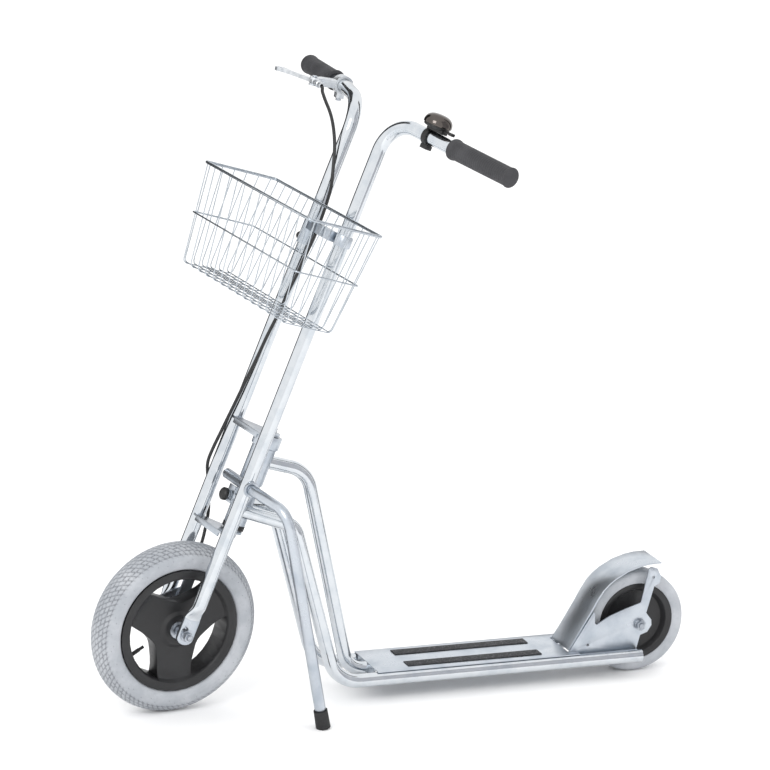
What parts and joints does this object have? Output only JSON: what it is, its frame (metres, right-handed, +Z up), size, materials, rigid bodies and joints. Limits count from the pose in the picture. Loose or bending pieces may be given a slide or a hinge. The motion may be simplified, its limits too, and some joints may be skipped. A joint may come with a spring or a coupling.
{
  "type": "kick scooter",
  "caption": "Transport kick scooter with a twin-tube fork, wire basket, low plate deck, large front wheel, small fendered rear wheel and a swing-down stand.",
  "frame": {"origin": "on the ground under the middle of the bounding box", "axes": "+Z up, -X towards the front wheel, -Y towards the rider's left"},
  "size_m": [1.1487, 0.74, 1.1023],
  "materials": {
    "zinc_steel": "bright zinc plate",
    "fasteners": "satin",
    "black_plastic": "moulded",
    "cable_black": "smooth sheath",
    "grey_tyre": "mid grey rubber",
    "dark_rubber": "matt",
    "anti_slip": "gritty",
    "cast_alloy": "satin",
    "smoked_chrome": "dark mirror"
  },
  "bodies": {
    "frame": {"head_tube": "zinc_steel", "upper_bush": "fasteners", "lower_bush": "fasteners", "dust_ring": "dark_rubber", "main_tube": "zinc_steel", "side_tube_left": "zinc_steel", "side_tube_right": "zinc_steel", "deck_plate": "zinc_steel", "grip_strip_left": "anti_slip", "grip_strip_right": "anti_slip", "rear_plate_left": "zinc_steel", "rear_plate_right": "zinc_steel", "rear_fender": "zinc_steel", "rear_axle": "fasteners", "rear_axle_nut_left": "fasteners", "rear_axle_nut_right": "fasteners"},
    "front_end": {"fork_tube_left": "zinc_steel", "fork_tube_right": "zinc_steel", "cross_plate_upper": "zinc_steel", "cross_plate_lower": "zinc_steel", "pivot_bolt": "fasteners", "pivot_nut": "fasteners", "grip_left": "dark_rubber", "grip_right": "dark_rubber", "brake_perch": "cast_alloy", "lever_pivot_pin": "fasteners", "perch_clamp_bolt": "fasteners", "cable_adjuster": "cast_alloy", "brake_cable": "cable_black", "bell_base": "black_plastic", "bell_dome": "smoked_chrome", "basket": "zinc_steel", "basket_rim": "zinc_steel", "bracket_clamp_left": "zinc_steel", "bracket_clamp_right": "zinc_steel", "bracket_bar": "zinc_steel", "basket_knob": "black_plastic", "front_axle": "fasteners", "front_axle_nut_left": "fasteners", "front_axle_nut_right": "fasteners", "brake_back_plate": "zinc_steel", "cable_stop": "fasteners", "stand_sleeve": "zinc_steel", "lock_plunger": "zinc_steel"},
    "front_wheel": {"front_rim": "black_plastic", "front_tyre": "grey_tyre", "valve_stem": "dark_rubber", "front_bearing_left": "fasteners", "front_bearing_right": "fasteners", "brake_drum": "fasteners"},
    "rear_wheel": {"rear_hub": "black_plastic", "rear_tyre": "grey_tyre", "rear_bearing_left": "fasteners", "rear_bearing_right": "fasteners"},
    "brake_lever": {"brake_lever": "cast_alloy"},
    "brake_arm": {"brake_arm": "zinc_steel"},
    "stand": {"stand_leg": "zinc_steel", "stand_foot": "dark_rubber"},
    "stand_lock": {"lock_knob": "black_plastic"},
    "bell_lever": {"bell_lever": "black_plastic"}
  },
  "joints": [
    {"name": "steering", "type": "hinge", "parent": "frame", "child": "front_end", "pos_m": [-0.3809, -0.0012, 0.1433], "axis": [0.3527, 0, 0.9358], "range_deg": [-40, 24]},
    {"name": "front_wheel_spin", "type": "hinge", "parent": "front_end", "child": "front_wheel", "pos_m": [-0.41824, -0.00687, 0.15737], "axis": [0.1317, -0.99, -0.0496], "continuous": true},
    {"name": "rear_wheel_spin", "type": "hinge", "parent": "frame", "child": "rear_wheel", "pos_m": [0.4779, -0.0012, 0.0965], "axis": [0, -1, 0], "continuous": true},
    {"name": "brake_lever_squeeze", "type": "hinge", "parent": "front_end", "child": "brake_lever", "pos_m": [-0.12063, 0.17311, 1.09125], "axis": [-0.1515, 0.0087, -0.9884], "range_deg": [0, 28], "stiffness_Nm_per_rad": 0.6, "springref_deg": -5.73},
    {"name": "brake_arm_pull", "type": "hinge", "parent": "front_end", "child": "brake_arm", "pos_m": [-0.43185, 0.03289, 0.19456], "axis": [0.1317, -0.99, -0.0496], "range_deg": [0, 11], "stiffness_Nm_per_rad": 0.3, "springref_deg": -2.86},
    {"name": "stand_swing", "type": "hinge", "parent": "front_end", "child": "stand", "pos_m": [-0.3161, -0.00673, 0.42558], "axis": [-0.1317, 0.99, 0.0496], "range_deg": [0, 110]},
    {"name": "stand_lock_pull", "type": "slide", "parent": "front_end", "child": "stand_lock", "axis": [-0.9264, -0.1407, 0.3491], "range_m": [0, 0.006], "stiffness_N_per_m": 1200, "springref_m": -0.002},
    {"name": "bell_ring", "type": "hinge", "parent": "front_end", "child": "bell_lever", "pos_m": [-0.0237, -0.16762, 1.07388], "axis": [0.3577, -0.0227, 0.9336], "range_deg": [0, 30], "stiffness_Nm_per_rad": 0.05, "springref_deg": -5.73}
  ],
  "couplings": [
    {"joint": "brake_arm_pull", "follows": "brake_lever_squeeze", "ratio": 0.39286}
  ]
}
